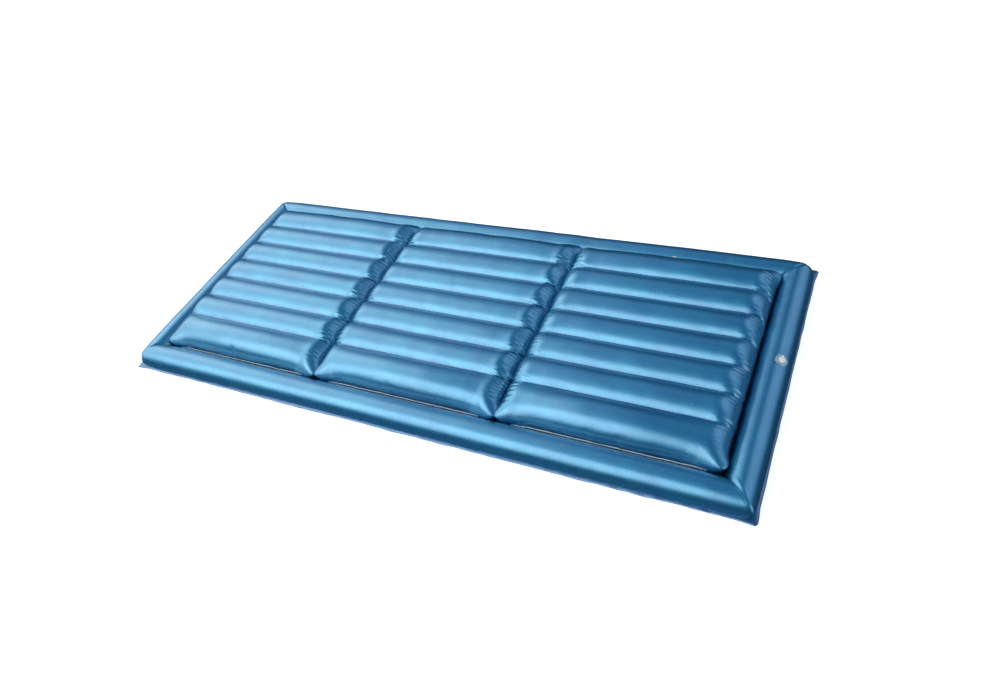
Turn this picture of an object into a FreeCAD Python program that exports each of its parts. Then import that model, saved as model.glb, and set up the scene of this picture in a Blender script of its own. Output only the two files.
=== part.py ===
import FreeCAD, Part
import Sketcher
import os

# Three-section inflated mattress inside a mitred air frame.
# Millimetres. +X runs along the length towards the frame valve, +Y across, +Z up.
# The origin is the centre of the underside, on the surface that the mattress lies on.

DIMENSIONS = [
    ("mattress_length", 2000.0, "over the outer weld flange"),
    ("mattress_width", 890.0, "over the outer weld flange"),
    ("sheet_thickness", 1.5, "base sheet"),
    ("film_thickness", 2.0, "film of the frame and the cushions"),
    ("flange_height", 28.0, "mid-plane of the weld flanges above the floor"),
    ("tube_radius", 45.5, "inflated frame tube"),
    ("tube_inset", 52.5, "tube axis from the outer edge of the flange"),
    ("tube_axis_height", 38.0, "tube axis above the floor"),
    ("sheet_inset", 25.0, "edge of the base sheet from the outer edge of the flange"),
    ("cushion_gap", 2.0, "between neighbouring cushions at their widest"),
    ("channel_pitch", 95.3, "between the valleys of one cushion"),
    ("channel_radius", 63.0, "inflated channel, across the mattress"),
    ("channel_axis_height", 64.0, "channel axis above the floor"),
    ("end_radius", 64.0, "rounding of a cushion's two ends"),
    ("rib_thickness", 1.2, "internal web under each valley"),
    ("rib_end_clearance", 60.0, "end of a web from the end of its cushion"),
    ("disc_radius", 17.0, "valve disc"),
    ("disc_thickness", 1.2, "valve disc"),
    ("disc_clearance", 0.1, "valve disc above the film"),
    ("film_hole_radius", 8.0, "hole in the film under a valve disc"),
    ("stem_radius", 6.5, "outside of a valve stem"),
    ("stem_bore_radius", 4.6, "bore of a valve stem"),
    ("stem_depth", 16.0, "stem below the surface of the film"),
    ("shank_radius", 4.5, "shank of a valve plug"),
    ("shank_depth", 11.0, "shank below the surface of the film"),
    ("plug_head_radius", 8.5, "head of a valve plug"),
    ("plug_head_height", 2.6, "head of a valve plug"),
    ("plug_head_chamfer", 0.8, "upper edge of the head"),
    ("tether_length", 6.5, "strap from the head towards the edge of the disc"),
    ("tether_width", 5.0, "strap"),
    ("tether_thickness", 1.0, "strap"),
    ("flap_radius", 6.2, "check flap under a stem"),
    ("flap_thickness", 0.6, "check flap"),
    ("flap_tab_length", 9.0, "from the middle of the flap to the root of its tab"),
    ("flap_tab_width", 5.0, "tab of the check flap"),
    ("seat_gap", 0.05, "between a resting face and its seat"),
    ("frame_valve_offset", 20.0, "frame valve from the middle of the width"),
    ("frame_valve_tilt", 25.0, "frame valve, from upright towards the foot end"),
    ("filler_tilt", 60.0, "cushion filler, from upright towards the far side"),
]

CUSHIONS = 3
CHANNELS = 7

X_AXIS = FreeCAD.Vector(1, 0, 0)
Y_AXIS = FreeCAD.Vector(0, 1, 0)
Z_AXIS = FreeCAD.Vector(0, 0, 1)
NOWHERE = FreeCAD.Vector(0, 0, 0)
ALONG_X = FreeCAD.Rotation(Y_AXIS, 90)
ALONG_Y = FreeCAD.Rotation(X_AXIS, -90)

doc = FreeCAD.newDocument("PressureReliefMattress")
kept = []


# ---------------------------------------------------------------- helpers

def make_sheet():
    sheet = doc.addObject("Spreadsheet::Sheet", "Dimensions")
    for row, (alias, value, note) in enumerate(DIMENSIONS, start=1):
        sheet.set(f"A{row}", alias)
        sheet.set(f"B{row}", str(value))
        sheet.set(f"C{row}", note)
        sheet.setAlias(f"B{row}", alias)
    doc.recompute()
    return sheet


def expand(formula):
    """Put the sheet's name before every alias of a formula."""
    words = []
    for word in formula.split():
        known = any(word == alias for alias, _, _ in DIMENSIONS)
        words.append(f"Dimensions.{word}" if known else word)
    return " ".join(words)


def number(formula):
    return float(sheet.evalExpression(expand(formula)))


def bind(item, formulas):
    for path, formula in formulas.items():
        item.setExpression(path, expand(formula))


def keep(item, label):
    """Name a finished sub-part, which also names its file."""
    item.Label = label
    kept.append(item)
    return item


def place(item, rotation, x="0", y="0", z="0"):
    item.Placement = FreeCAD.Placement(NOWHERE, rotation)
    bind(item, {"Placement.Base.x": x, "Placement.Base.y": y, "Placement.Base.z": z})


def box(name, length, width, height, x, y, z):
    item = doc.addObject("Part::Box", name)
    place(item, FreeCAD.Rotation(), x, y, z)
    bind(item, {"Length": length, "Width": width, "Height": height})
    return item


def cylinder(name, radius, height, rotation=FreeCAD.Rotation(), x="0", y="0", z="0"):
    item = doc.addObject("Part::Cylinder", name)
    place(item, rotation, x, y, z)
    bind(item, {"Radius": radius, "Height": height})
    return item


def fuse(name, items):
    joined = doc.addObject("Part::MultiFuse", name)
    joined.Shapes = items
    return joined


def cut(name, base, tool):
    rest = doc.addObject("Part::Cut", name)
    rest.Base = base
    rest.Tool = tool
    return rest


def common(name, base, tool):
    shared = doc.addObject("Part::Common", name)
    shared.Base = base
    shared.Tool = tool
    return shared


def origin_plane(body, role):
    return next(item for item in body.Origin.OriginFeatures if item.Role == role)


def sketch_on(body, name, role, height="0"):
    sketch = body.newObject("Sketcher::SketchObject", name)
    sketch.AttachmentSupport = [(origin_plane(body, role), "")]
    sketch.MapMode = "FlatFace"
    bind(sketch, {"AttachmentOffset.Base.z": height})
    return sketch


def hold(sketch, kind, *where, formula=None):
    """Add a constraint, and bind its value to the sheet when it has one."""
    if formula is None:
        return sketch.addConstraint(Sketcher.Constraint(kind, *where))
    index = sketch.addConstraint(Sketcher.Constraint(kind, *where, number(formula)))
    bind(sketch, {f"Constraints[{index}]": formula})
    return index


def polygon(sketch, corners):
    """Closed outline with every corner held from the sketch's origin."""
    points = [FreeCAD.Vector(number(x), number(y), 0) for x, y in corners]
    for start, end in zip(points, points[1:] + points[:1]):
        sketch.addGeometry(Part.LineSegment(start, end))
    for side in range(len(corners)):
        hold(sketch, "Coincident", side, 2, (side + 1) % len(corners), 1)
    for side, (x, y) in enumerate(corners):
        for kind, formula in (("DistanceX", x), ("DistanceY", y)):
            if abs(number(formula)) < 1e-9:
                on_axis = -2 if kind == "DistanceX" else -1
                hold(sketch, "PointOnObject", side, 1, on_axis)
            else:
                hold(sketch, kind, -1, 1, side, 1, formula=formula)


def flattened_circle(sketch, radius, floor):
    """Circle at the tube's axis, cut off straight where it lies on the floor."""
    across, up = number("tube_inset"), number("tube_axis_height")
    size, low = number(radius), number(floor)
    half = (size ** 2 - (up - low) ** 2) ** 0.5
    left = FreeCAD.Vector(across - half, low, 0)
    right = FreeCAD.Vector(across + half, low, 0)
    top = FreeCAD.Vector(across, up + size, 0)
    arc = sketch.addGeometry(Part.Arc(right, top, left))
    base = sketch.addGeometry(Part.LineSegment(left, right))
    hold(sketch, "Coincident", arc, 2, base, 1)
    hold(sketch, "Coincident", arc, 1, base, 2)
    hold(sketch, "Horizontal", base)
    hold(sketch, "Radius", arc, formula=radius)
    hold(sketch, "DistanceX", -1, 1, arc, 3, formula="tube_inset")
    hold(sketch, "DistanceY", -1, 1, arc, 3, formula="tube_axis_height")
    hold(sketch, "DistanceY", -1, 1, base, 1, formula=floor)


def pad(body, name, sketch, length, symmetric=False):
    feature = body.newObject("PartDesign::Pad", name)
    feature.Profile = sketch
    feature.SideType = "Symmetric" if symmetric else "One side"
    bind(feature, {"Length": length})
    return feature


def mirrored(body, name, feature):
    """Repeat a feature on the other side of the body's YZ plane."""
    mirror = body.newObject("PartDesign::Mirrored", name)
    mirror.Originals = [feature]
    mirror.MirrorPlane = (origin_plane(body, "YZ_Plane"), [""])
    body.Tip = mirror
    return mirror


# ---------------------------------------------------------------- air frame

# side name, length over the flange, turn about +Z, middle of the outer edge
SIDES = [
    ("near", "mattress_length", 0, "0", "0 - mattress_width / 2"),
    ("foot", "mattress_width", 90, "mattress_length / 2", "0"),
    ("far", "mattress_length", 180, "0", "mattress_width / 2"),
    ("head", "mattress_width", 270, "0 - mattress_length / 2", "0"),
]


def frame_tube(side, run, turn, x, y):
    """One straight length of the air tube, hollow, with mitred open ends."""
    body = doc.addObject("PartDesign::Body", f"tube_{side}")
    section = sketch_on(body, f"tube_section_{side}", "YZ_Plane")
    flattened_circle(section, "tube_radius", "sheet_thickness")
    flattened_circle(section, "tube_radius - film_thickness", "sheet_thickness + film_thickness")
    pad(body, f"tube_run_{side}", section, run, symmetric=True)
    corner = sketch_on(body, f"tube_corner_{side}", "XY_Plane")
    polygon(corner, [
        (f"{run} / 2 + 1", "0"),
        (f"{run} / 2 + 1", "2 * tube_inset"),
        (f"{run} / 2 - 2 * tube_inset", "2 * tube_inset"),
        (f"{run} / 2", "0"),
    ])
    doc.recompute()
    mitre = body.newObject("PartDesign::Pocket", f"tube_mitre_{side}")
    mitre.Profile = corner
    mitre.Type = "ThroughAll"
    mitre.Reversed = True
    mirrored(body, f"tube_mitres_{side}", mitre)
    place(body, FreeCAD.Rotation(Z_AXIS, turn), x, y)
    return body


FLANGE_WIDTH = (
    "tube_inset - sqrt( tube_radius * tube_radius - "
    "pow( tube_axis_height - flange_height - sheet_thickness / 2 ; 2 ) )"
)


def frame_flange(side, run, turn, x, y):
    """Outer weld margin along one side, mitred at both corners."""
    body = doc.addObject("PartDesign::Body", f"flange_{side}")
    bottom = "flange_height - sheet_thickness / 2"
    outline = sketch_on(body, f"flange_outline_{side}", "XY_Plane", bottom)
    polygon(outline, [
        ("0", "0"),
        (f"{run} / 2", "0"),
        (f"{run} / 2 - ( {FLANGE_WIDTH} )", FLANGE_WIDTH),
        ("0", FLANGE_WIDTH),
    ])
    half = pad(body, f"flange_half_{side}", outline, "sheet_thickness")
    mirrored(body, f"flange_whole_{side}", half)
    place(body, FreeCAD.Rotation(Z_AXIS, turn), x, y)
    return body


def base_sheet():
    length = "( mattress_length - 2 * sheet_inset )"
    width = "( mattress_width - 2 * sheet_inset )"
    return box("ground_sheet", length, width, "sheet_thickness",
               f"0 - {length} / 2", f"0 - {width} / 2", "0")


# ---------------------------------------------------------------- cushions

FIELD_LENGTH = "( mattress_length - 2 * tube_inset - 2 * tube_radius )"
FIELD_WIDTH = "( mattress_width - 2 * tube_inset - 2 * tube_radius )"
CUSHION_PITCH = f"( {FIELD_LENGTH} / {CUSHIONS} )"
CUSHION_LENGTH = f"( {CUSHION_PITCH} - cushion_gap )"
LOBES_WIDTH = f"( {CHANNELS - 1} * channel_pitch )"


def inflated_form(name, wall, floor):
    """Row of round channels with rounded ends, lying flat on a floor.

    wall is how far the form lies inside the outer surface of the film.
    """
    channels = []
    for index in range(CHANNELS):
        across = f"{index} * channel_pitch - {LOBES_WIDTH} / 2"
        channels.append(cylinder(
            f"{name}_channel_{index + 1}", f"channel_radius - {wall}", CUSHION_LENGTH, ALONG_X,
            f"0 - {CUSHION_LENGTH} / 2", across, "channel_axis_height"))
    core = box(f"{name}_core", CUSHION_LENGTH, LOBES_WIDTH, "channel_axis_height",
               f"0 - {CUSHION_LENGTH} / 2", f"0 - {LOBES_WIDTH} / 2", "0")
    row = fuse(f"{name}_row", channels + [core])

    end_x = f"( {CUSHION_LENGTH} / 2 - end_radius )"
    start_y = "0 - mattress_width / 2"
    ends = []
    for number_of_end, sign in enumerate(("0 - ", "0 + "), start=1):
        ends.append(cylinder(
            f"{name}_end_{number_of_end}", f"end_radius - {wall}", "mattress_width", ALONG_Y,
            f"{sign}{end_x}", start_y, "channel_axis_height"))
    middle = box(f"{name}_middle", f"2 * {end_x}", "mattress_width", f"2 * ( end_radius - {wall} )",
                 f"0 - {end_x}", start_y, f"channel_axis_height - ( end_radius - {wall} )")
    envelope = fuse(f"{name}_envelope", ends + [middle])

    floating = common(f"{name}_floating", row, envelope)
    below = box(f"{name}_below", "2 * " + CUSHION_LENGTH, "mattress_width", f"10 + {floor}",
                f"0 - {CUSHION_LENGTH}", start_y, "0 - 10")
    return cut(name, floating, below)


def cushion_film(tag, outer, x):
    """Closed film of one cushion, with the hole that its filler covers."""
    cavity = inflated_form(f"cavity_{tag}", "film_thickness", "( sheet_thickness + film_thickness )")
    shell = cut(f"shell_{tag}", outer, cavity)
    hole = cylinder(f"filler_hole_{tag}", "film_hole_radius", "2 * channel_radius",
                    FreeCAD.Rotation(X_AXIS, -number("filler_tilt")),
                    "0", f"{LOBES_WIDTH} / 2", "channel_axis_height")
    film = cut(f"film_{tag}", shell, hole)
    place(film, FreeCAD.Rotation(), x)
    return film


def cushion_rim(tag, outer, x):
    """Weld margin round the foot of one cushion, out to its neighbours and the frame."""
    blank = box(f"rim_blank_{tag}", CUSHION_PITCH, FIELD_WIDTH, "sheet_thickness",
                f"0 - {CUSHION_PITCH} / 2", f"0 - {FIELD_WIDTH} / 2",
                "flange_height - sheet_thickness / 2")
    rim = cut(f"rim_{tag}", blank, outer)
    place(rim, FreeCAD.Rotation(), x)
    return rim


RIB_LENGTH = f"( {CUSHION_LENGTH} - 2 * rib_end_clearance )"
CAVITY_VALLEY = (
    "( channel_axis_height + sqrt( pow( channel_radius - film_thickness ; 2 ) "
    "- pow( channel_pitch / 2 ; 2 ) ) )"
)


def cushion_rib(tag, index, x):
    """Web that ties one valley of the top film to the floor film."""
    floor = "( sheet_thickness + film_thickness )"
    across = f"{index} * channel_pitch - {LOBES_WIDTH} / 2 - channel_pitch / 2 - rib_thickness / 2"
    return box(f"rib_{tag}_{index}", RIB_LENGTH, "rib_thickness",
               f"{CAVITY_VALLEY} - {floor} - seat_gap",
               f"{x} - {RIB_LENGTH} / 2", across, floor)


# ---------------------------------------------------------------- valves

# Every valve is built about the axis of the round film that carries it: its own X axis runs
# along that film's axis, and its own Z axis points straight out through the film.

def valve_body(tag, host):
    """Curved disc and stem in one moulding, with the bore that the plug closes."""
    disc_top = f"( {host} + disc_clearance + disc_thickness )"
    span = "4 * disc_radius"
    over = cylinder(f"disc_over_{tag}", disc_top, span, ALONG_X, "0 - 2 * disc_radius")
    under = cylinder(f"disc_under_{tag}", f"{host} + disc_clearance", span, ALONG_X,
                     "0 - 2 * disc_radius")
    skin = cut(f"disc_skin_{tag}", over, under)
    punch = cylinder(f"disc_punch_{tag}", "disc_radius", "2 * " + disc_top)
    disc = common(f"disc_{tag}", skin, punch)
    stem = cylinder(f"stem_{tag}", "stem_radius", "stem_depth + disc_clearance + disc_thickness / 2",
                    z=f"{host} - stem_depth")
    moulding = fuse(f"moulding_{tag}", [disc, stem])
    bore = cylinder(f"bore_{tag}", "stem_bore_radius", "2 * " + disc_top)
    return cut(f"valve_body_{tag}", moulding, bore)


def valve_plug(tag, host):
    """Shank with a rounded nose and a flat head, turned about the valve's axis."""
    body = doc.addObject("PartDesign::Body", f"plug_{tag}")
    profile = sketch_on(body, f"plug_profile_{tag}", "XZ_Plane")
    seat = f"( {host} + disc_clearance + disc_thickness + seat_gap )"
    nose = f"( {host} - shank_depth )"
    polygon(profile, [
        ("0", nose),
        ("shank_radius - plug_head_chamfer", nose),
        ("shank_radius", f"{nose} + 2 * plug_head_chamfer"),
        ("shank_radius", seat),
        ("plug_head_radius", seat),
        ("plug_head_radius", f"{seat} + plug_head_height - plug_head_chamfer"),
        ("plug_head_radius - plug_head_chamfer", f"{seat} + plug_head_height"),
        ("0", f"{seat} + plug_head_height"),
    ])
    turned = body.newObject("PartDesign::Revolution", f"plug_turned_{tag}")
    turned.Profile = profile
    turned.ReferenceAxis = (profile, ["V_Axis"])
    turned.Angle = 360
    return body


def valve_tether(tag, host):
    """Flat strap of the plug, lying on the disc along the film's axis."""
    body = doc.addObject("PartDesign::Body", f"strap_{tag}")
    outline = sketch_on(body, f"strap_outline_{tag}", "XZ_Plane")
    root = "( plug_head_radius + seat_gap )"
    seat = f"( {host} + disc_clearance + disc_thickness + seat_gap )"
    polygon(outline, [
        (root, seat),
        (f"{root} + tether_length", seat),
        (f"{root} + tether_length", f"{seat} + tether_thickness"),
        (root, f"{seat} + tether_thickness"),
    ])
    pad(body, f"strap_run_{tag}", outline, "tether_width", symmetric=True)
    return body


def valve_flap(tag, host):
    """Check flap that closes the inner mouth of the stem."""
    underside = f"{host} - stem_depth - seat_gap - flap_thickness"
    leaf = cylinder(f"flap_leaf_{tag}", "flap_radius", "flap_thickness", z=underside)
    tab = box(f"flap_tab_{tag}", "flap_tab_length", "flap_tab_width", "flap_thickness",
              "0 - flap_tab_length", "0 - flap_tab_width / 2", underside)
    return fuse(f"flap_{tag}", [leaf, tab])


def valve(tag, host, rotation, x, y, z):
    """All four pieces of one valve, standing on a film of radius host about (x, y, z)."""
    pieces = {
        "body": valve_body(tag, host),
        "plug": valve_plug(tag, host),
        "tether": valve_tether(tag, host),
        "check_flap": valve_flap(tag, host),
    }
    for name, item in pieces.items():
        place(item, rotation, x, y, z)
        keep(item, f"{tag}_{name}")


# ---------------------------------------------------------------- assembly

def build_frame():
    for side, run, turn, x, y in SIDES:
        tube = frame_tube(side, run, turn, x, y)
        if side == "foot":
            tube = with_valve_hole(tube)
        keep(tube, f"frame_tube_{side}")
        keep(frame_flange(side, run, turn, x, y), f"frame_flange_{side}")


FOOT_TUBE_X = "mattress_length / 2 - tube_inset"


def frame_valve_tilt():
    return FreeCAD.Rotation(Y_AXIS, number("frame_valve_tilt"))


def with_valve_hole(tube):
    hole = cylinder("frame_valve_hole", "film_hole_radius", "2 * tube_radius", frame_valve_tilt(),
                    FOOT_TUBE_X, "frame_valve_offset", "tube_axis_height")
    return cut("tube_foot_with_hole", tube, hole)


def build_cushion(index):
    tag = f"cushion_{index + 1}"
    x = f"( {index - (CUSHIONS - 1) // 2} * {CUSHION_PITCH} )"
    outer = inflated_form(f"outer_{tag}", "0", "sheet_thickness")
    keep(cushion_film(tag, outer, x), f"{tag}_film")
    keep(cushion_rim(tag, outer, x), f"{tag}_weld_rim")
    for rib in range(1, CHANNELS):
        keep(cushion_rib(tag, rib, x), f"{tag}_rib_{rib}")
    tilt = FreeCAD.Rotation(X_AXIS, -number("filler_tilt"))
    valve(f"filler_{index + 1}", "channel_radius", tilt,
          x, f"{LOBES_WIDTH} / 2", "channel_axis_height")


def check(item):
    """A sub-part has to have computed, and has to be sound solids."""
    if item.Shape.isNull() or not item.Shape.isValid() or not item.Shape.Solids:
        raise ValueError(f"{item.Label} has no sound solid")


sheet = make_sheet()
keep(base_sheet(), "base_sheet")
build_frame()
turned_tilt = frame_valve_tilt().multiply(FreeCAD.Rotation(Z_AXIS, 90))
valve("frame_valve", "tube_radius", turned_tilt,
      FOOT_TUBE_X, "frame_valve_offset", "tube_axis_height")
for cushion in range(CUSHIONS):
    build_cushion(cushion)
doc.recompute()

for item in doc.Objects:
    if "Invalid" in item.State or "Error" in item.State:
        raise ValueError(f"{item.Label} failed: {item.State}")
os.makedirs("parts", exist_ok=True)
for item in kept:
    check(item)
    item.Shape.exportStep(f"parts/{item.Label}.step")
print(len(kept), "sub-parts written")
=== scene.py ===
import math

import bmesh
import bpy
import numpy as np
from mathutils import Matrix, Vector


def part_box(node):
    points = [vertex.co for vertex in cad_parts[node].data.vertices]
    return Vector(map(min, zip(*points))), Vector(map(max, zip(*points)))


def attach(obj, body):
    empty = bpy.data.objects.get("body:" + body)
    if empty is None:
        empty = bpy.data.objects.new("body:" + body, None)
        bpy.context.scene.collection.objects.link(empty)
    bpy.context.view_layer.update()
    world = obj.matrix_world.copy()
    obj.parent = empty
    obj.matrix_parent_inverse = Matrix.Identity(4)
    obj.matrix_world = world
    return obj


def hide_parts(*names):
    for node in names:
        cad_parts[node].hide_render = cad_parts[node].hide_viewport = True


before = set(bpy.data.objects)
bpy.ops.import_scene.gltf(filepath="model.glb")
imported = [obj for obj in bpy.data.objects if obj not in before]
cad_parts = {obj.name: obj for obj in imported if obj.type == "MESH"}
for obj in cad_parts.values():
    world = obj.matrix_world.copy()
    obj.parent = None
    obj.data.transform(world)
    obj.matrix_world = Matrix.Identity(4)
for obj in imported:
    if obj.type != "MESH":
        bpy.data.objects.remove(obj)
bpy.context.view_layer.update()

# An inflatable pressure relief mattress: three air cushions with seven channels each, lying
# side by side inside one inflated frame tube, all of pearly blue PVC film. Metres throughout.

BODY = "mattress"


# ------------------------------------------------------------------ sizes read from the frame

tube_low, tube_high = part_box("frame_tube_near")
TUBE_R = (tube_high.y - tube_low.y) / 2          # radius of the frame tube
TUBE_Z = tube_high.z - TUBE_R                    # height of its axis
TUBE_Y = -(tube_high.y + tube_low.y) / 2         # its axis along the long sides
foot_low, foot_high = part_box("frame_tube_foot")
TUBE_X = (foot_high.x + foot_low.x) / 2          # its axis along the short sides
TUBE_FLOOR = tube_low.z                          # the tube rests on the base sheet here
flange_low, flange_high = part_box("frame_flange_near")
SEAM_Z = (flange_low.z + flange_high.z) / 2      # height of the weld plane
FLANGE_T = flange_high.z - flange_low.z
EDGE_Y = -flange_low.y

film_low, film_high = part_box("cushion_2_film")
CHANNELS = 7
VALLEYS = sorted((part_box(f"cushion_2_rib_{k}")[0].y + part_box(f"cushion_2_rib_{k}")[1].y) / 2
                 for k in range(1, CHANNELS))    # the y of each rib
PITCH = (VALLEYS[-1] - VALLEYS[0]) / (CHANNELS - 2)    # from one channel to the next
OUTER = (CHANNELS - 1) / 2 * PITCH               # axis of the outermost channel
CHANNEL_R = film_high.y - OUTER
CHANNEL_Z = film_high.z - CHANNEL_R
END_R = CHANNEL_Z                                # rounding of the channel ends
END_X = film_high.x - END_R
CUSHION_FLOOR = film_low.z
RIB_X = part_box("cushion_2_rib_1")[1].x           # the ribs stop here, and the film is free
VALVE_HOLE = 0.008                               # radius of the film's hole in a valve's stem


# ------------------------------------------------------------------ small helpers

def smooth(x, low, high):
    """0 below low, 1 above high, and smooth between them."""
    t = np.clip((np.asarray(x, float) - low) / (high - low), 0, 1)
    return t * t * (3 - 2 * t)


def wander(x, step, seed):
    """A smooth random line between -1 and 1 that changes every step metres."""
    x = np.asarray(x, float) / step
    knots = np.random.default_rng(seed).uniform(-1, 1, 997)
    k = np.floor(x).astype(int)
    f = x - k
    f = f * f * (3 - 2 * f)
    return knots[k % 997] * (1 - f) + knots[(k + 1) % 997] * f


def mottle(x, y, step, seed):
    """A smooth random field between -1 and 1."""
    x, y = np.asarray(x, float) / step, np.asarray(y, float) / step
    knots = np.random.default_rng(seed).uniform(-1, 1, (211, 211))
    i, j = np.floor(x).astype(int), np.floor(y).astype(int)
    f, g = x - i, y - j
    f, g = f * f * (3 - 2 * f), g * g * (3 - 2 * g)
    low = knots[i % 211, j % 211] * (1 - f) + knots[(i + 1) % 211, j % 211] * f
    high = knots[i % 211, (j + 1) % 211] * (1 - f) + knots[(i + 1) % 211, (j + 1) % 211] * f
    return low * (1 - g) + high * g


def grid_faces(rows, columns, wrap_rows=False, wrap_columns=False):
    """The quads of a grid of points, numbered row by row."""
    i = np.arange(rows if wrap_rows else rows - 1)
    j = np.arange(columns if wrap_columns else columns - 1)
    i, j = (a.ravel() for a in np.meshgrid(i, j, indexing="ij"))
    i2, j2 = (i + 1) % rows, (j + 1) % columns
    return np.stack([i * columns + j, i2 * columns + j, i2 * columns + j2, i * columns + j2], 1)


def grid_rim(rows, columns):
    """The numbers of a grid's outermost points, in order round its edge."""
    number = np.arange(rows * columns).reshape(rows, columns)
    return np.concatenate([number[0, :-1], number[:-1, -1], number[-1, :0:-1],
                           number[:0:-1, 0]])


def make_piece(name, points, faces, material, replaced):
    """A smooth mesh that rides on the mattress and stands for some CAD nodes."""
    mesh = bpy.data.meshes.new(name)
    mesh.from_pydata(np.asarray(points, float).reshape(-1, 3).tolist(), [],
                     [list(map(int, f)) for f in faces])
    mesh.update()
    mesh.shade_smooth()
    mesh.materials.append(material)
    piece = bpy.data.objects.new(name, mesh)
    bpy.context.scene.collection.objects.link(piece)
    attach(piece, BODY)
    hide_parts(*replaced)
    return piece


def read_points(mesh):
    points = np.zeros(len(mesh.vertices) * 3, np.float32)
    mesh.vertices.foreach_get("co", points)
    return points.reshape(-1, 3).astype(float)


def write_points(mesh, points):
    mesh.vertices.foreach_set("co", np.asarray(points, np.float32).ravel())
    mesh.update()


def read_normals(mesh):
    normals = np.zeros(len(mesh.vertices) * 3, np.float32)
    mesh.vertex_normals.foreach_get("vector", normals)
    return normals.reshape(-1, 3).astype(float)


def add_value(mesh, name, values):
    """A number on each vertex, which the material reads."""
    attribute = mesh.attributes.new(name, "FLOAT", "POINT")
    attribute.data.foreach_set("value", np.asarray(values, np.float32))


def apply_modifiers(piece):
    """Puts the evaluated shape into the piece's own mesh and drops its modifiers."""
    evaluated = piece.evaluated_get(bpy.context.evaluated_depsgraph_get())
    mesh = bpy.data.meshes.new_from_object(evaluated)
    old = piece.data
    piece.modifiers.clear()
    piece.data = mesh
    bpy.data.meshes.remove(old)
    mesh.name = piece.name
    mesh.shade_smooth()


# ------------------------------------------------------------------ materials

class Nodes:
    """Short names for building the nodes of one material or world."""

    def __init__(self, owner, shader="Principled BSDF"):
        owner.use_nodes = True
        self.owner = owner
        self.tree = owner.node_tree
        self.shader = self.tree.nodes[shader]

    def add(self, kind, **values):
        node = self.tree.nodes.new(kind)
        for key, value in values.items():
            setattr(node, key, value)
        return node

    def link(self, output, socket):
        self.tree.links.new(output, socket)

    def set(self, **values):
        for key, value in values.items():
            self.shader.inputs[key.replace("_", " ")].default_value = value

    def place(self):
        """Position on the piece, in metres."""
        return self.add("ShaderNodeTexCoord").outputs["Object"]

    def stretched(self, scale):
        node = self.add("ShaderNodeMapping")
        node.inputs["Scale"].default_value = scale
        self.link(self.place(), node.inputs["Vector"])
        return node.outputs["Vector"]

    def noise(self, vector, scale, detail=2.0, rough=0.5):
        node = self.add("ShaderNodeTexNoise")
        node.inputs["Scale"].default_value = scale
        node.inputs["Detail"].default_value = detail
        node.inputs["Roughness"].default_value = rough
        self.link(vector, node.inputs["Vector"])
        return node.outputs["Fac"]

    def between(self, value, low, high, new_low, new_high, kind="SMOOTHSTEP"):
        """The value moved from the range low to high into the range new_low to new_high."""
        node = self.add("ShaderNodeMapRange", interpolation_type=kind)
        for key, number in (("From Min", low), ("From Max", high),
                            ("To Min", new_low), ("To Max", new_high)):
            node.inputs[key].default_value = number
        self.link(value, node.inputs["Value"])
        return node.outputs["Result"]

    def maths(self, operation, a, b):
        node = self.add("ShaderNodeMath", operation=operation)
        for socket, value in zip(node.inputs, (a, b)):
            if isinstance(value, (int, float)):
                socket.default_value = value
            else:
                self.link(value, socket)
        return node.outputs[0]

    def mix(self, factor, a, b):
        node = self.add("ShaderNodeMix", data_type="RGBA")
        if isinstance(factor, (int, float)):
            node.inputs["Factor"].default_value = factor
        else:
            self.link(factor, node.inputs["Factor"])
        colours, result = node.inputs[6:8], node.outputs[2]     # the node's colour sockets
        for socket, value in zip(colours, (a, b)):
            if isinstance(value, tuple):
                socket.default_value = value
            else:
                self.link(value, socket)
        return result

    def bump(self, height, distance, strength=1.0, normal=None):
        node = self.add("ShaderNodeBump")
        node.inputs["Distance"].default_value = distance
        node.inputs["Strength"].default_value = strength
        self.link(height, node.inputs["Height"])
        if normal is not None:
            self.link(normal, node.inputs["Normal"])
        return node.outputs["Normal"]


def film_material(name, colour, dark, metallic, roughness, weld=None):
    """Pearly PVC film: a metal flake blue under a clear gloss, with a fine grain, soft
    unevenness from the calender, and short creases. weld names the vertex value of its welds,
    where the film is painted darker: partly the welds' own tone, partly painted crease shade."""
    n = Nodes(bpy.data.materials.new(name))
    place = n.place()
    cloud = n.noise(place, 9, 3, 0.55)
    flake = n.noise(place, 900, 1, 0.5)
    shade = n.mix(n.between(cloud, 0.3, 0.7, 0.0, 0.35), colour, dark)
    rough = n.between(n.noise(place, 38, 3, 0.6), 0.3, 0.7, roughness - 0.035, roughness + 0.045)
    if weld:
        mark = n.add("ShaderNodeAttribute", attribute_name=weld).outputs["Fac"]
        # Painted shade: the welds are darkened towards dark, partly their own tone and partly the
        # shade of the valleys and creases they lie in.
        shade = n.mix(n.maths("MULTIPLY", mark, 0.8), shade, dark)
        rough = n.maths("ADD", rough, n.maths("MULTIPLY", mark, 0.10))
    n.link(shade, n.shader.inputs["Base Color"])
    n.link(rough, n.shader.inputs["Roughness"])
    n.set(Metallic=metallic, Coat_Weight=1.0, Coat_Roughness=0.28, Coat_IOR=1.9)
    grain = n.bump(flake, 0.00006, 0.35)
    soft = n.bump(n.noise(n.stretched((1.0, 2.2, 1.0)), 16, 2, 0.5), 0.0022, 0.55, grain)
    cells = n.add("ShaderNodeTexVoronoi", feature="DISTANCE_TO_EDGE")
    cells.inputs["Scale"].default_value = 46
    n.link(n.stretched((1.0, 0.55, 1.0)), cells.inputs["Vector"])
    crease = n.between(cells.outputs["Distance"], 0.0, 0.11, 1.0, 0.0)
    some = n.between(n.noise(place, 17, 0, 0.5), 0.66, 0.78, 0.0, 1.0)
    ticks = n.bump(n.maths("MULTIPLY", crease, some), 0.0006, 0.45, soft)
    n.link(ticks, n.shader.inputs["Normal"])
    return n.owner


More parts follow.
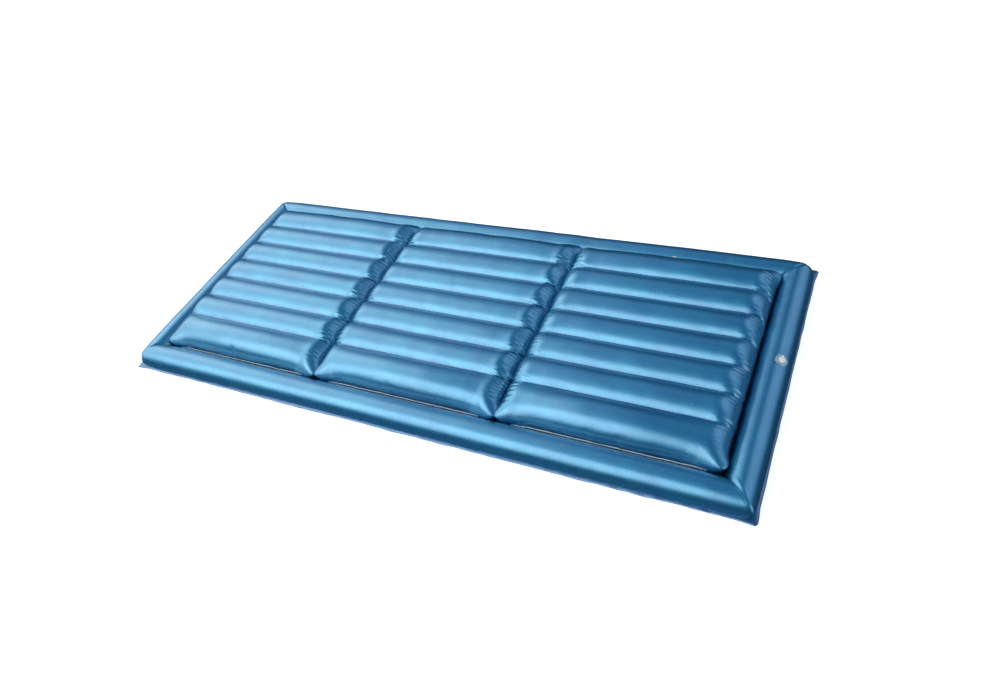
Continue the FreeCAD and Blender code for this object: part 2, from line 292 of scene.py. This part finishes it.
def plain_material(name, colour, roughness, **values):
    """Even soft PVC, for the small mouldings and the film inside."""
    n = Nodes(bpy.data.materials.new(name))
    n.set(Base_Color=colour, Roughness=roughness, **values)
    return n.owner


BLUE, NAVY = (0.013, 0.262, 0.448, 1), (0.005, 0.130, 0.315, 1)
cushion_film = film_material("cushion_film", BLUE, NAVY, 0.92, 0.40, weld="weld_and_crease_shade")
frame_film = film_material("frame_film", BLUE, NAVY, 0.92, 0.40, weld="weld_and_crease_shade")
# Painted shade: the weld margins of the flange and the cushion rims are a darker copy of the blue
# film, for the shade they lie in beside the tubes and cushions.
weld_film_painted_shade = film_material("weld_margin", (0.006, 0.110, 0.270, 1), NAVY, 0.9, 0.36)
# Painted highlight: the seam lip is coloured near white, not the blue of the film it is cut from,
# to stand for the glint along its edge.
lip_film_painted_highlight = film_material("seam_lip_painted_highlight", (0.72, 0.84, 0.90, 1), (0.40, 0.60, 0.75, 1), 0.0, 0.30)
base_film = film_material("base_film", (0.010, 0.12, 0.30, 1), NAVY, 0.45, 0.42)
web_film = plain_material("web_film", (0.010, 0.18, 0.36, 1), 0.45, Metallic=0.6)
clear_pvc = plain_material("clear_pvc", (0.86, 0.93, 0.95, 1), 0.16, Transmission_Weight=0.72,
                           IOR=1.47)
milky_pvc = plain_material("milky_pvc", (0.88, 0.88, 0.86, 1), 0.35, Subsurface_Weight=0.25,
                           Subsurface_Scale=0.003, IOR=1.5)
flap_film = plain_material("flap_film", (0.86, 0.86, 0.84, 1), 0.35, IOR=1.5)


# ------------------------------------------------------------------ air cushions

class Filler:
    """Place of a cushion's filler valve on its far outer channel."""

    def __init__(self, index):
        low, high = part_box(f"filler_{index}_body")
        self.x = (low.x + high.x) / 2
        middle = (low + high) / 2
        self.axis = Vector((0, middle.y - OUTER, middle.z - CHANNEL_Z)).normalized()
        self.root = Vector((self.x, OUTER, CHANNEL_Z))

    def distance(self, points):
        """How far each point is from the valve's axis, or 1 m on the side away from it."""
        away = np.asarray(points) - np.array(self.root)
        along = away @ np.array(self.axis)
        across = away - along[:, None] * np.array(self.axis)
        return np.where(along > 0, np.linalg.norm(across, axis=1), 1.0)


def lobed_profile():
    """The cushion's cross-section from one foot to the other: (y, z), and the valley rows."""
    foot = math.asin((CHANNEL_Z - SEAM_Z) / CHANNEL_R)
    half = math.asin(PITCH / 2 / CHANNEL_R)
    points, rows = [], []
    for channel in range(CHANNELS):
        first, last = channel == 0, channel == CHANNELS - 1
        start = -(math.pi / 2 + foot) if first else -half
        stop = math.pi / 2 + foot if last else half
        steps = 40 if first or last else 24
        if not first:
            rows.append(len(points))
        angles = start + (stop - start) * np.arange(steps) / steps
        centre = (channel - (CHANNELS - 1) / 2) * PITCH
        points += [(centre + CHANNEL_R * math.sin(a), CHANNEL_Z + CHANNEL_R * math.cos(a))
                   for a in angles]
    points.append((OUTER + CHANNEL_R * math.cos(foot), SEAM_Z))
    return np.array(points), rows


def end_profile():
    """The cushion's long section: run along the film, x, and height above the weld plane
    as a share of the crown's."""
    turn = math.pi / 2 + math.asin((CHANNEL_Z - SEAM_Z) / END_R)
    half = END_X + END_R * turn
    middle = np.linspace(-0.205, 0.205, 41)
    end = np.linspace(0.205, half, 33)[1:]
    run = np.concatenate([-end[::-1], middle, end])
    angle = np.clip((np.abs(run) - END_X) / END_R, 0, None)
    x = np.sign(run) * np.where(angle > 0, END_X + END_R * np.sin(angle), np.abs(run))
    z = CHANNEL_Z + END_R * np.cos(angle)
    return run, x, np.clip((z - SEAM_Z) / (CHANNEL_Z + END_R - SEAM_Z), 0, 1), angle / turn


ROUNDNESS = 2.4          # how squarely the end's curve and the side's curve meet at a corner


def cushion_shape(seed, arch):
    """The film as it is cut and first blown up: a grid of points round the cushion's middle.
    arch is how far the two outer channels sink towards the corners, as on a pillow."""
    (profile, rows), (run, x_line, rise, past) = lobed_profile(), end_profile()
    y_line, z_line = profile[:, 0], profile[:, 1]
    foot_y, foot_x = y_line[-1], x_line[-1]
    step = np.hypot(*np.diff(profile, axis=0).T)
    girth = np.concatenate([[0], np.cumsum(step)])
    girth -= girth[-1] / 2
    crown = CHANNEL_Z + CHANNEL_R - SEAM_Z
    lift = (z_line - SEAM_Z) / crown
    outer_run = girth[-1] - girth[rows[-1]]
    side = np.clip((np.abs(girth) - girth[rows[-1]]) / outer_run, 0, 1)

    end_share = smooth(past, 0.30, 1)[:, None]
    side_share = smooth(side, 0.60, 1)[None]
    a, b = np.maximum(rise, 1e-4)[:, None], np.maximum(lift, 1e-4)[None]
    height = (a ** -ROUNDNESS + b ** -ROUNDNESS - 1) ** (-1 / ROUNDNESS)
    arch = np.where(y_line < 0, arch, 0.2 * arch)[None]
    sink = arch * smooth(np.abs(x_line), 0.05, 0.27)[:, None] * np.sin(math.pi * side ** 0.8)[None]
    x = x_line[:, None] * (1 - side_share) + (run / run[-1] * foot_x)[:, None] * side_share
    y = y_line[None] * (1 - end_share) + (girth / girth[-1] * foot_y)[None] * end_share
    bulge = np.clip(np.abs(y) - foot_y, 0, None) * smooth(np.abs(x_line), 0.05, 0.25)[:, None]
    y = y - np.sign(y) * bulge * np.minimum(1.0, 6 * arch)
    z = SEAM_Z + crown * height * (1 - sink)

    # The four corners are blown fuller than their neighbourhood.
    full = smooth(past, 0.25, 0.65) * (1 - smooth(past, 0.80, 1))
    full = full[:, None] * (smooth(side, 0.45, 0.75) * (1 - smooth(side, 0.85, 1)))[None]
    x, y, z = x + np.sign(x) * 0.007 * full, y + np.sign(y) * 0.007 * full, z + 0.007 * full

    # No valley is quite straight.
    for k, row in enumerate(rows):
        y[:, row] += 0.0010 * wander(run + 3, 0.045, seed + k)
        z[:, row] += 0.0009 * wander(run + 3, 0.060, seed + 20 + k)
    return np.stack([np.broadcast_to(v, z.shape) for v in (x, y, z)], -1), run, girth, rows


def inflate(grid, pin, spare, frames=12, reach=0.014):
    """Blows the film up as cloth. pin holds points in place, and spare is how much longer
    the film is cut there than it looks, which gathers into puckers. No point goes further
    than reach."""
    rows, columns = grid.shape[:2]
    mesh = bpy.data.meshes.new("film_in_work")
    mesh.from_pydata(grid.reshape(-1, 3).tolist(), [], grid_faces(rows, columns).tolist())
    mesh.update()
    work = bpy.data.objects.new("film_in_work", mesh)
    bpy.context.scene.collection.objects.link(work)
    most = max(float(spare.max()), 1e-3)
    for name, weights in (("pin", pin), ("exact", 1 - spare / most)):
        group = work.vertex_groups.new(name=name)
        for level in np.unique(np.round(weights[weights > 0.004], 2)):
            chosen = np.flatnonzero(np.round(weights, 2).ravel() == level)
            group.add(chosen.tolist(), float(level), "REPLACE")
    cloth = work.modifiers.new("inflate", "CLOTH")
    settings = cloth.settings
    settings.vertex_group_mass = "pin"
    settings.pin_stiffness = 50
    settings.vertex_group_shrink = "exact"
    settings.shrink_min = -most
    settings.shrink_max = 0
    settings.quality = 5
    settings.mass = 0.02
    settings.air_damping = 1
    settings.tension_stiffness = settings.compression_stiffness = 40
    settings.shear_stiffness = 5
    settings.bending_stiffness = 0.02
    settings.tension_damping = settings.compression_damping = settings.shear_damping = 5
    settings.bending_damping = 0.5
    settings.use_pressure = True
    settings.uniform_pressure_force = 500
    settings.effector_weights.gravity = 0
    cloth.collision_settings.use_collision = False
    cloth.collision_settings.use_self_collision = False
    cloth.point_cache.frame_start, cloth.point_cache.frame_end = 1, frames
    for step in range(1, frames + 1):
        bpy.context.scene.frame_set(step)
    blown = read_points(work.evaluated_get(bpy.context.evaluated_depsgraph_get()).data)
    bpy.context.scene.frame_set(1)
    bpy.data.objects.remove(work)
    bpy.data.meshes.remove(mesh)
    moved = blown.reshape(grid.shape) - grid
    far = np.linalg.norm(moved, axis=-1, keepdims=True)
    return grid + moved * np.minimum(1, reach / np.maximum(far, 1e-9))


def gather_ends(points, gathers, seed):
    """How far fine gathers move the film: folds down the end walls, and fans at the rib ends."""
    x, y, z = points.T
    out = np.zeros(len(points))
    angle = np.arctan2(np.abs(x) - END_X, np.maximum(z - CHANNEL_Z, 1e-6))
    run = np.where(np.abs(x) > END_X, END_X + END_R * np.clip(angle, 0, 1.57), np.abs(x))
    random = np.random.default_rng(seed)
    for side, (sign, strength) in enumerate(zip((-1, 1), gathers)):
        here = np.sign(x) == sign
        key = 10 * seed + 4 * side
        phase = y / 0.0130 + 0.8 * wander(y + 2, 0.07, key)
        fold = np.abs(np.sin(math.pi * phase)) - 0.8
        lively = np.clip(0.65 + 0.7 * wander(y + 2, 0.045, key + 1), 0.15, 1.2)
        start = END_X + END_R * (0.42 + 0.16 * wander(y + 2, 0.013, key + 2))
        wall = smooth(run, start, start + 0.016) * smooth(z, 0.034, 0.050)
        wall = wall * (1 - smooth(np.abs(y), 0.300, 0.325))
        out += here * 0.0038 * strength * lively * wall * fold
        for valley in VALLEYS:
            along = run - RIB_X - 0.004
            across = y - valley
            pitch = random.uniform(0.0085, 0.0110) + 0.08 * np.clip(along, 0, 0.05)
            reach = random.uniform(0.034, 0.048) * (0.45 + 0.55 * strength)
            fan = np.abs(np.cos(math.pi * across / pitch)) - 0.6
            shape = smooth(along, 0.0, 0.014) * (1 - smooth(along, reach * 0.5, reach))
            shape = shape * np.exp(-(across / (0.014 + 0.4 * np.clip(along, 0, 0.05))) ** 2)
            out += here * 0.0014 * strength * random.uniform(0.5, 1.2) * fan * shape
    return out * (z > SEAM_Z + 0.004)


def hold_film(run, rows, near_valve):
    """How firmly each point is held while the film is blown up: all round the weld, along
    the ribs and by the filler valve."""
    pin = np.where(near_valve > 0.5, near_valve, 0.0)
    pin[[0, -1]] = pin[:, [0, -1]] = 1
    for row in rows:
        held = 1 - 0.45 * smooth(np.abs(run), RIB_X, RIB_X + 0.02)
        held = held * (1 - smooth(np.abs(run), RIB_X + 0.034, RIB_X + 0.050))
        pin[:, row] = np.maximum(pin[:, row], held)
    return pin


def spare_film(run, girth, rows, gathers, near_valve, seed):
    """How much longer the film is cut than it looks, as a share: most at the two ends, and
    a little along the foot of the long sides."""
    at_end = smooth(np.abs(run), 0.235, 0.270) * (1 - 0.4 * smooth(np.abs(run), 0.33, 0.374))
    strength = np.where(run < 0, gathers[0], gathers[1])
    spare = 0.085 * (at_end * strength)[:, None] * np.ones(len(girth))[None]
    side = smooth(np.abs(girth), girth[rows[-1]] + 0.06, girth[-1] - 0.02)
    ripple = 0.5 + 0.5 * wander(run + 7, 0.05, seed + 90)
    spare = np.maximum(spare, 0.006 * side[None] * ripple[:, None])
    return spare * (1 - near_valve)


def add_lower_film(grid):
    """The points and faces of the upper film with the lower film, which runs from the weld
    down to the base sheet and in under the cushion as rings of (inset, share of height)."""
    rim = grid_rim(*grid.shape[:2])
    top = grid.reshape(-1, 3)
    edge = top[rim]
    half_x, half_y = np.abs(edge).max(0)[:2]
    floor = CUSHION_FLOOR + 0.0004
    points, faces, before = [top], [grid_faces(*grid.shape[:2])], rim
    for inset, level in ((0.001, 0.74), (0.006, 0.36), (0.018, 0.06), (0.034, 0.0)):
        ring = edge * np.array([(half_x - inset) / half_x, (half_y - inset) / half_y, 1])
        ring[:, 2] = floor + (SEAM_Z - floor) * level
        now = np.arange(len(rim)) + sum(map(len, points))
        faces.append(np.stack([before, np.roll(before, -1), np.roll(now, -1), now], 1))
        points.append(ring)
        before = now
    return np.concatenate(points), np.concatenate(faces)


def pinch_corners(local):
    """How far the film stands out at the four corners, below the crown."""
    x, y, z = np.abs(local).T
    corner = smooth(x, 0.245, 0.285) * smooth(y, 0.295, 0.335)
    corner = 0.0075 * corner * smooth(z, 0.030, 0.045) * (1 - smooth(z, 0.075, 0.110))
    return np.sign(local) * corner[:, None] * np.array([1, 1, 0])


def rib_welds_and_valley_shade(local):
    """1 on the lines where the ribs are welded to the upper film, down the valleys, and 0
    elsewhere. The film is painted darker there: partly the weld, partly painted valley shade.
    """
    apart = np.min([np.abs(local[:, 1] - v) for v in VALLEYS], axis=0)
    on_rib = 1 - smooth(np.abs(local[:, 0]), RIB_X, RIB_X + 0.02)
    return (1 - smooth(apart, 0.0008, 0.0035)) * on_rib * (local[:, 2] > 0.09)


def build_cushion(index, arch, gathers, seed):
    """One cushion. gathers says how strongly its head end and its foot end pucker."""
    low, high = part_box(f"cushion_{index}_film")
    shift = np.array([(low.x + high.x) / 2, 0, 0])
    filler = Filler(index)
    grid, run, girth, rows = cushion_shape(seed, arch)

    # By the filler valve the film keeps its plain shape, so that the disc lies on it.
    exact = cushion_shape(seed, 0.0)[0]
    near_valve = (1 - smooth(filler.distance((exact + shift).reshape(-1, 3)), 0.024, 0.060))
    near_valve = near_valve.reshape(grid.shape[:2])
    grid = grid * (1 - near_valve[..., None]) + exact * near_valve[..., None]
    grid = inflate(grid, hold_film(run, rows, near_valve),
                   spare_film(run, girth, rows, gathers, near_valve, seed))
    points, faces = add_lower_film(grid)

    piece = make_piece(f"cushion_{index}", points + shift, faces, cushion_film,
                       [f"cushion_{index}_film"])
    finer = piece.modifiers.new("finer", "SUBSURF")
    finer.levels = finer.render_levels = 1
    apply_modifiers(piece)
    mesh = piece.data
    close_underside(mesh)
    points, normals = read_points(mesh), read_normals(mesh)
    local = points - shift
    out = gather_ends(local, gathers, seed)
    out += 0.00035 * mottle(points[:, 0] + 5, points[:, 1] + 5, 0.055, seed) * (
        points[:, 2] > SEAM_Z + 0.01)
    out *= smooth(filler.distance(points), 0.020, 0.034)
    write_points(mesh, points + normals * out[:, None] + pinch_corners(local))
    add_value(mesh, "weld_and_crease_shade", rib_welds_and_valley_shade(local))
    open_valve_hole(mesh, filler.distance(read_points(mesh)), filler)
    return piece


def close_underside(mesh):
    """Puts one flat face into the open middle of the lower film."""
    work = bmesh.new()
    work.from_mesh(mesh)
    bmesh.ops.edgeloop_fill(work, edges=[e for e in work.edges if e.is_boundary])
    work.to_mesh(mesh)
    work.free()
    mesh.update()


def open_valve_hole(mesh, distance, filler):
    """Removes the film inside the valve's stem and rounds the edge of the hole."""
    work = bmesh.new()
    work.from_mesh(mesh)
    work.verts.ensure_lookup_table()
    inside = [f for f in work.faces
              if all(distance[v.index] < VALVE_HOLE + 0.001 for v in f.verts)]
    edge = {v for f in inside for v in f.verts}
    bmesh.ops.delete(work, geom=inside, context="FACES")
    for v in edge:
        if v.is_valid and any(e.is_boundary for e in v.link_edges):
            away = v.co - filler.root
            along = away.dot(filler.axis) * filler.axis
            across = (away - along).normalized() * VALVE_HOLE
            v.co = filler.root + along + across
    work.to_mesh(mesh)
    work.free()
    mesh.update()


# ------------------------------------------------------------------ frame tube

SIDES = ((0, -1), (1, 0), (0, 1), (-1, 0))       # outward direction of near, foot, far, head
SQUARE = (0.0, 0.0, 0.0, 0.0)                    # plan radii of four sharp corners


def stations(half, fine, coarse):
    """Places along a run from -1 to 1, close together near its two ends."""
    ends = 0.16                                  # length of each closely spaced end
    middle = np.linspace(-(half - ends), half - ends, max(3, round(2 * (half - ends) / coarse)))
    end = np.linspace(half - ends, half, round(ends / fine) + 1)[1:]
    return np.concatenate([-end[::-1], middle, end]) / half


def frame_ring(offset, height, fine, coarse, rounding=SQUARE, half_x=None, half_y=None,
               change=None):
    """Points of a ring round the mattress. offset and height give the section's points, as
    distances outside the tube's axis line and heights. rounding is the plan radius of the
    near head, near foot, far foot and far head corner. change(side, run, left) gives extra
    offset and height, where left is the distance to the mitre."""
    half_x = TUBE_X if half_x is None else half_x
    half_y = TUBE_Y if half_y is None else half_y
    rings, facts = [], []
    for index, (nx, ny) in enumerate(SIDES):
        long_half, cross_half = (half_y, half_x) if nx else (half_x, half_y)
        u = stations(long_half, fine, coarse)[:-1]
        t = np.array((-ny, nx), float)
        n = np.array((nx, ny), float)
        run = u * long_half
        left = long_half - np.abs(run)
        d = np.broadcast_to(offset, (len(u), len(offset))).copy()
        z = np.broadcast_to(height, d.shape).copy()
        if change is not None:
            more_d, more_z = change(index, run[:, None], left[:, None])
            d, z = d + more_d, z + more_z
        reach = u[:, None] * (long_half + d)
        corner = np.where(u < 0, rounding[index], rounding[(index + 1) % 4])[:, None]
        rho = corner * smooth(d, 0.004, TUBE_R * 0.98)
        m = (long_half + d) - np.abs(reach)
        bend = np.where((m < rho) & (rho > 1e-6), 1 - m / np.maximum(rho, 1e-6), 0.0)
        theta = bend * math.pi / 4
        out = cross_half + d - rho * (1 - np.cos(theta))
        along = np.where(bend > 0, long_half + d - rho + rho * np.sin(theta), np.abs(reach))
        along = along * np.sign(reach + 1e-12)
        plan = out[..., None] * n + along[..., None] * t
        rings.append(np.concatenate([plan, z[..., None]], -1))
        facts.append(np.broadcast_to(left[:, None], d.shape))
    return np.concatenate(rings), np.concatenate(facts)


def tube_change(angles):
    """How the blown-up tube differs from plain round: slow swells, narrower mitres with a
    crease, and short ripples that start at the outer weld."""
    def change(index, run, left):
        seed = 300 + 10 * index
        swell = 0.0009 * wander(run + 9, 0.24, seed) + 0.0005 * wander(run + 9, 0.07, seed + 1)
        waist = -0.0042 * np.exp(-left / 0.050)
        over = (smooth(np.sin(angles), 0.0, 0.5) * smooth(-np.cos(angles), -0.75, 0.2))[None]
        crease = -0.0022 * np.exp(-(left / 0.0050) ** 2) * over
        lips = 0.0007 * np.exp(-((left - 0.011) / 0.005) ** 2) * over
        seam = np.exp(-(np.sin(angles / 2 + 0.11) / 0.16) ** 2)[None]
        ripple = 0.0011 * seam * wander(run + 9, 0.016, seed + 2) * (
            0.55 + 0.45 * wander(run + 9, 0.11, seed + 3))
        grow = swell + waist + crease + lips + ripple
        return grow * np.cos(angles)[None], grow * np.sin(angles)[None]
    return change


def calm_near_valve(points):
    """Leaves the tube plain where the valve's disc lies on it."""
    low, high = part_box("frame_valve_body")
    middle = (low + high) / 2
    root = Vector((TUBE_X, middle.y, TUBE_Z))
    axis = np.array((Vector((middle.x, middle.y, middle.z)) - root).normalized())
    away = points - np.array(root)
    along = away @ axis
    across = np.linalg.norm(away - along[:, None] * axis, axis=1)
    near = np.where(along > 0, 1 - smooth(across, 0.020, 0.050), 0.0)
    radial = away * np.array((1, 0, 1))
    length = np.linalg.norm(radial, axis=1)
    plain = np.array(root) + radial * (TUBE_R / np.maximum(length, 1e-6))[:, None]
    plain[:, 1] = points[:, 1]
    return points * (1 - near)[:, None] + plain * near[:, None], np.where(along > 0, across, 1.0)


def build_frame_tube():
    angles = np.linspace(0, 2 * math.pi, 72, endpoint=False)
    offset, height = TUBE_R * np.cos(angles), TUBE_Z + TUBE_R * np.sin(angles)
    points, left = frame_ring(offset, height, 0.0045, 0.0075, (0.028, 0.012, 0.034, 0.028),
                              change=tube_change(angles))
    rows = len(points)
    points, from_valve = calm_near_valve(points.reshape(-1, 3))

    # The tube's underside lies flat on the base sheet, and turns up softly beside it.
    floor, soft = TUBE_FLOOR + 0.0003, 0.004
    above = points[:, 2] - floor
    points[:, 2] = floor + np.where(above < soft,
                                    soft * np.exp(np.minimum(above, soft) / soft - 1), above)
    faces = grid_faces(rows, len(angles), True, True)[:, ::-1]
    hole = np.all(from_valve[faces] < VALVE_HOLE + 0.001, axis=1)
    piece = make_piece("frame_tube", points, faces[~hole], frame_film,
                       ["frame_tube_near", "frame_tube_foot", "frame_tube_far",
                        "frame_tube_head"])
    # The mitre's weld is painted darker over the top and the inner side, where its crease
    # lies: partly the weld, partly painted crease shade.
    inner = np.tile(smooth(-np.cos(angles), -0.6, 0.3) * (np.sin(angles) > 0), rows)
    mark = 0.6 * inner * np.exp(-(np.minimum(left.ravel(), 0.02) / 0.0022) ** 2)
    add_value(piece.data, "weld_and_crease_shade", mark)
    return piece


def strip_section(inner, outer, thickness, ridges):
    """Cross-section of a weld margin from inner to outer, with raised weld bars."""
    across = np.linspace(0, 1, 9)
    bars = sum(np.exp(-((across - r) / 0.08) ** 2) for r in ridges) * thickness * 0.35
    top = thickness / 2 + bars
    top[-1] = thickness * 0.25
    d = inner + (outer - inner) * across
    return np.concatenate([d, d[::-1]]), np.concatenate([top, -top[::-1]])


def build_flange():
    """The welded margin round the outside, a thin strip that waves a little."""
    inner, outer = 0.022, EDGE_Y - TUBE_Y        # it starts inside the tube, where it is welded
    d, z = strip_section(inner, outer, FLANGE_T, (0.76, 0.90))
    free = smooth(d, 0.036, outer)
    narrow = 0.0035                              # how much is trimmed off between the corners

    def change(index, run, left):
        seed = 700 + 10 * index
        wave = 0.0016 * wander(run + 9, 0.085, seed) + 0.0009 * wander(run + 9, 0.021, seed + 1)
        edge = 0.0008 * wander(run + 9, 0.034, seed + 2)
        tip = -0.0030 * (1 - smooth(left, 0.0, 0.004))
        trim = -narrow * smooth(left, 0.012, 0.050)
        return (edge + tip + trim) * free[None], (wave - 0.0030) * free[None]

    points, _ = frame_ring(d, SEAM_Z + z, 0.004, 0.006, change=change)
    faces = grid_faces(len(points), len(d), True, True)
    return make_piece("frame_flange", points, faces, weld_film_painted_shade,
                      [f"frame_flange_{side}" for side in ("near", "foot", "far", "head")])


def build_cushion_rim(index):
    """The margin that joins a cushion's foot to the frame and to its neighbours."""
    low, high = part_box(f"cushion_{index}_weld_rim")
    middle = (low.x + high.x) / 2
    half_x, half_y = (high.x - low.x) / 2, (high.y - low.y) / 2
    width = 0.0125
    d, z = strip_section(-width, 0.0, high.z - low.z, (0.3,))
    free = np.clip(1 + d / width, 0, 1)

    def change(side, run, left):
        seed = 900 + 40 * index + 10 * side
        wave = 0.0010 * wander(run + 5, 0.055, seed) + 0.0004 * wander(run + 5, 0.014, seed + 1)
        inward = -0.0010 - 0.0010 * wander(run + 5, 0.04, seed + 2)
        return inward * free[None], (wave + 0.0012) * (free * (1 - 0.35 * free))[None]

    points, _ = frame_ring(d, SEAM_Z + z, 0.004, 0.006, SQUARE, half_x, half_y, change)
    points = points + np.array([middle, 0, 0])
    faces = grid_faces(len(points), len(d), True, True)
    return make_piece(f"cushion_rim_{index}", points, faces, weld_film_painted_shade,
                      [f"cushion_{index}_weld_rim"])


def build_seam_lip(index):
    """The trimmed edge of a cushion's weld, standing up between its near wall and the tube.
    It is coloured near white as a painted highlight, the glint along the weld's edge.
    """
    low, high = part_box(f"cushion_{index}_film")
    x = np.arange(low.x + 0.040, high.x - 0.022, 0.0035)
    share = np.linspace(0, 1, 8)
    ends = smooth(x, x[0], x[0] + 0.07) * (1 - smooth(x, x[-1] - 0.05, x[-1]))
    top = 0.0565 + 0.0145 * ends + 0.0018 * wander(x + 3, 0.045, 60 + index)
    top += 0.0011 * wander(x + 3, 0.012, 70 + index)
    z = 0.034 + (top[:, None] - 0.034) * share[None]
    tube = TUBE_Y - np.sqrt(TUBE_R ** 2 - (z - TUBE_Z) ** 2)
    wall = OUTER + np.sqrt(CHANNEL_R ** 2 - (z - CHANNEL_Z) ** 2)
    middle = (tube + wall) / 2 + 0.0005 * wander(x + 3, 0.02, 80 + index)[:, None] * share[None]
    half = 0.0008 * (1 - 0.4 * share ** 6)[None]
    section_y = np.concatenate([middle + half, (middle - half)[:, ::-1]], 1)
    section_z = np.concatenate([z, z[:, ::-1]], 1)
    points = np.stack([np.broadcast_to(x[:, None], section_y.shape), -section_y, section_z], -1)
    count = section_y.shape[1]
    faces = [list(f) for f in grid_faces(len(x), count, False, True)]
    faces.append(list(range(count))[::-1])
    faces.append(list(range((len(x) - 1) * count, len(x) * count)))
    return make_piece(f"seam_lip_painted_highlight_{index}", points, faces, lip_film_painted_highlight, [])


def build_base_sheet():
    """The sheet under everything, drawn tight, with faint wrinkles from the pull of the welds."""
    low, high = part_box("base_sheet")
    xs = np.linspace(low.x, high.x, 164)
    ys = np.linspace(low.y, high.y, 71)
    x, y = np.meshgrid(xs, ys, indexing="ij")
    edge = np.minimum(high.x - np.abs(x), high.y - np.abs(y))
    pull = 1 - smooth(edge, 0.0, 0.14)
    under = 0.00055 * (0.5 + 0.5 * mottle(x + 9, y + 9, 0.11, 41))
    under += 0.0004 * pull * (0.5 + 0.5 * mottle((x + 9) * 2.2, (y + 9) * 2.2, 0.045, 42))
    under *= smooth(edge, 0.0, 0.006)
    lower = np.stack([x, y, low.z + under], -1)
    upper = np.stack([x, y, np.full_like(x, high.z - 0.00002)], -1)
    quads, rim, count = grid_faces(*x.shape), grid_rim(*x.shape), x.size
    after = np.roll(rim, -1)
    wall = np.stack([rim, rim + count, after + count, after], 1)
    faces = np.concatenate([quads[:, ::-1], quads + count, wall[:, ::-1]])
    piece = make_piece("base_film", np.concatenate([lower.reshape(-1, 3), upper.reshape(-1, 3)]),
                       faces, base_film, ["base_sheet"])
    return piece


# ------------------------------------------------------------------ assembly

CUSHIONS = ((1, 0.15, (0.55, 1.15), 11),         # (number, arch, gathers, seed)
            (2, 0.15, (0.70, 1.20), 22),
            (3, 0.17, (0.70, 0.60), 33))

for index, arch, gathers, seed in CUSHIONS:
    build_cushion(index, arch, gathers, seed)
    build_cushion_rim(index)
    build_seam_lip(index)
build_frame_tube()
build_flange()
build_base_sheet()

for name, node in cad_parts.items():
    if "_rib_" in name:
        material = web_film
    elif name.endswith("_body"):
        material = clear_pvc
    elif name.endswith(("_plug", "_tether")):
        material = milky_pvc
    elif name.endswith("_check_flap"):
        material = flap_film
    else:
        material = frame_film
    node.data.materials.clear()
    node.data.materials.append(material)


# ------------------------------------------------------------------ floor, light and camera

def build_floor():
    mesh = bpy.data.meshes.new("floor")
    half, z = 30.0, -0.0006
    mesh.from_pydata([(-half, -half, z), (half, -half, z), (half, half, z), (-half, half, z)],
                     [], [(0, 1, 2, 3)])
    n = Nodes(bpy.data.materials.new("studio_floor"))
    n.set(Base_Color=(0.62, 0.63, 0.64, 1), Roughness=0.9, Emission_Color=(1, 1, 1, 1),
          Emission_Strength=0.80)
    mesh.materials.append(n.owner)
    floor = bpy.data.objects.new("floor", mesh)
    bpy.context.scene.collection.objects.link(floor)
    floor.visible_glossy = False


def build_light():
    """Soft boxes painted on the world, each as (direction, half width in degrees, strength)."""
    boxes = (((-0.36, -0.70, 0.62), 24, 2.2),
             ((-0.86, -0.05, 0.52), 36, 1.35),
             ((-0.60, 0.58, 0.55), 26, 0.50),
             ((0.60, 0.62, 0.50), 28, 0.75),
             ((0.93, -0.30, 0.22), 22, 1.4),
             ((-0.30, -0.50, -0.80), 40, 0.20))
    world = bpy.data.worlds.new("studio")
    bpy.context.scene.world = world
    n = Nodes(world, "Background")
    unit = n.add("ShaderNodeVectorMath", operation="NORMALIZE")
    n.link(n.add("ShaderNodeTexCoord").outputs["Generated"], unit.inputs[0])
    split = n.add("ShaderNodeSeparateXYZ")
    n.link(unit.outputs["Vector"], split.inputs[0])
    total = n.between(split.outputs["Z"], 0.0, 0.9, 0.10, 0.38)
    for direction, width, strength in boxes:
        dot = n.add("ShaderNodeVectorMath", operation="DOT_PRODUCT")
        dot.inputs[1].default_value = Vector(direction).normalized()
        n.link(unit.outputs["Vector"], dot.inputs[0])
        outer, inner = (math.cos(math.radians(width * k)) for k in (1.35, 0.55))
        lobe = n.between(dot.outputs["Value"], outer, inner, 0.0, strength)
        total = n.maths("ADD", total, lobe)

    # The dim parts of the room are blue, and the bright boxes are white.
    bright = n.between(total, 0.3, 1.5, 0.0, 1.0, "LINEAR")
    n.link(n.mix(bright, (0.20, 0.56, 1, 1), (1, 1, 1, 1)), n.shader.inputs["Color"])
    n.link(total, n.shader.inputs["Strength"])
    bpy.context.scene.view_settings.view_transform = "Standard"


def build_camera():
    place = Vector((1.1036, -1.3765, 1.6084))
    aim = Vector((0.2085, -0.1080, 0.0600))
    forward = (aim - place).normalized()
    level = forward.cross(Vector((0, 0, 1))).normalized()
    above = level.cross(forward)
    roll = math.radians(-15.63)
    right = math.cos(roll) * level + math.sin(roll) * above
    up = right.cross(forward)
    data = bpy.data.cameras.new("camera")
    data.lens, data.sensor_width = 27.11, 36.0
    data.clip_start, data.clip_end = 0.05, 100
    camera = bpy.data.objects.new("camera", data)
    turn = Matrix((right, up, -forward)).transposed().to_4x4()
    camera.matrix_world = Matrix.Translation(place) @ turn
    bpy.context.scene.collection.objects.link(camera)
    bpy.context.scene.camera = camera


build_floor()
build_light()
build_camera()
